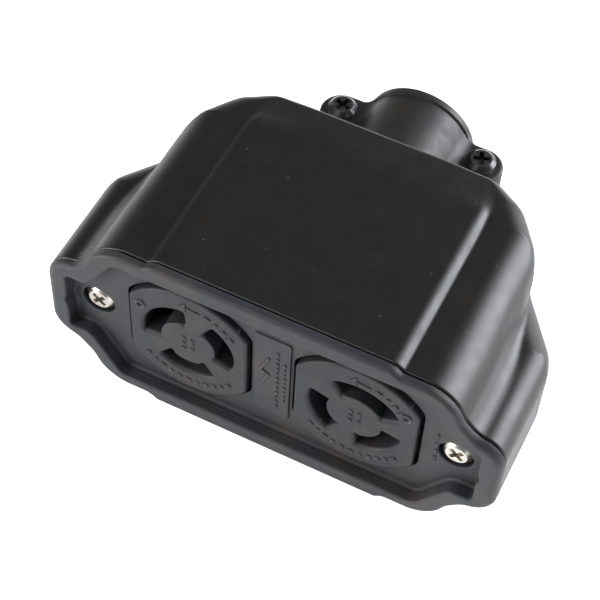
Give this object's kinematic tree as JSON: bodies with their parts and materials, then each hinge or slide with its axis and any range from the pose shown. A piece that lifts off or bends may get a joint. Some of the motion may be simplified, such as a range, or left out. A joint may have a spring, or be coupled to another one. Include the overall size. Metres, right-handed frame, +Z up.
{
  "type": "duplex locking outlet box",
  "caption": "Portable duplex outlet box: stepped black housing, grey recessed front cover with curved-slot locking sockets, and a screwed cord clamp on a round neck.",
  "frame": {"origin": "middle of the broad side that the box lies on, centred in X and Y over the whole assembly", "axes": "+X along the row of two sockets, +Y from the sockets to the cord clamp, +Z up out of the broad side that faces away from the table"},
  "size_m": [0.1044, 0.0804, 0.0492],
  "materials": {
    "housing_plastic": "moulded, glossy, fine scratches",
    "cover_plastic": "moulded, satin, slightly dusty",
    "face_plastic": "moulded, satin",
    "base_plastic": "moulded, matt",
    "contact_brass": "stamped sheet",
    "tinned_copper": "tin plated sheet",
    "ground_screw_green": "green dyed zinc plate",
    "screw_brass": "turned",
    "screw_nickel": "nickel plated",
    "screw_steel": "zinc plated",
    "insert_brass": "knurled, turned",
    "screw_black": "black oxide, slightly glossy"
  },
  "bodies": {
    "outlet_box": {"housing": "housing_plastic", "left_socket_face": "face_plastic", "right_socket_face": "face_plastic", "left_socket_base": "base_plastic", "right_socket_base": "base_plastic", "left_ground_contact": "contact_brass", "left_hot_contact": "contact_brass", "left_neutral_contact": "contact_brass", "right_ground_contact": "contact_brass", "right_hot_contact": "contact_brass", "right_neutral_contact": "contact_brass", "ground_link": "tinned_copper", "hot_link": "contact_brass", "neutral_link": "tinned_copper", "left_ground_screw": "ground_screw_green", "left_hot_screw": "screw_brass", "left_neutral_screw": "screw_nickel", "right_ground_screw": "ground_screw_green", "right_hot_screw": "screw_brass", "right_neutral_screw": "screw_nickel", "left_socket_screws": "screw_steel", "right_socket_screws": "screw_steel", "left_cover_insert": "insert_brass", "right_cover_insert": "insert_brass", "left_clamp_nut": "screw_steel", "right_clamp_nut": "screw_steel"},
    "cover": {"front_cover": "cover_plastic"},
    "left_cover_screw": {"left_cover_screw": "screw_nickel"},
    "right_cover_screw": {"right_cover_screw": "screw_nickel"},
    "cord_clamp": {"cord_clamp": "housing_plastic"},
    "left_clamp_screw": {"left_clamp_screw": "screw_black"},
    "right_clamp_screw": {"right_clamp_screw": "screw_black"}
  },
  "joints": [
    {"name": "cover_slide", "type": "slide", "parent": "outlet_box", "child": "cover", "axis": [0, -1, 0], "range_m": [0, 0.0138]},
    {"name": "left_cover_screw_turn", "type": "hinge", "parent": "cover", "child": "left_cover_screw", "pos_m": [-0.0417, -0.03805, 0.0246], "axis": [0, -1, 0], "range_deg": [0, 8281]},
    {"name": "right_cover_screw_turn", "type": "hinge", "parent": "cover", "child": "right_cover_screw", "pos_m": [0.0417, -0.03805, 0.0246], "axis": [0, -1, 0], "range_deg": [0, 8281]},
    {"name": "clamp_slide", "type": "slide", "parent": "outlet_box", "child": "cord_clamp", "axis": [0, 0, 1], "range_m": [0, 0.0028]},
    {"name": "left_clamp_screw_turn", "type": "hinge", "parent": "cord_clamp", "child": "left_clamp_screw", "pos_m": [-0.0173, 0.03275, 0.0286], "axis": [0, 0, 1], "range_deg": [0, 1681]},
    {"name": "right_clamp_screw_turn", "type": "hinge", "parent": "cord_clamp", "child": "right_clamp_screw", "pos_m": [0.0173, 0.03275, 0.0286], "axis": [0, 0, 1], "range_deg": [0, 1681]}
  ],
  "couplings": [
    {"joint": "left_cover_screw_turn", "follows": "cover_slide", "rad_per_m": 10472},
    {"joint": "right_cover_screw_turn", "follows": "cover_slide", "rad_per_m": 10472},
    {"joint": "left_clamp_screw_turn", "follows": "clamp_slide", "rad_per_m": 10472},
    {"joint": "right_clamp_screw_turn", "follows": "clamp_slide", "rad_per_m": 10472}
  ]
}
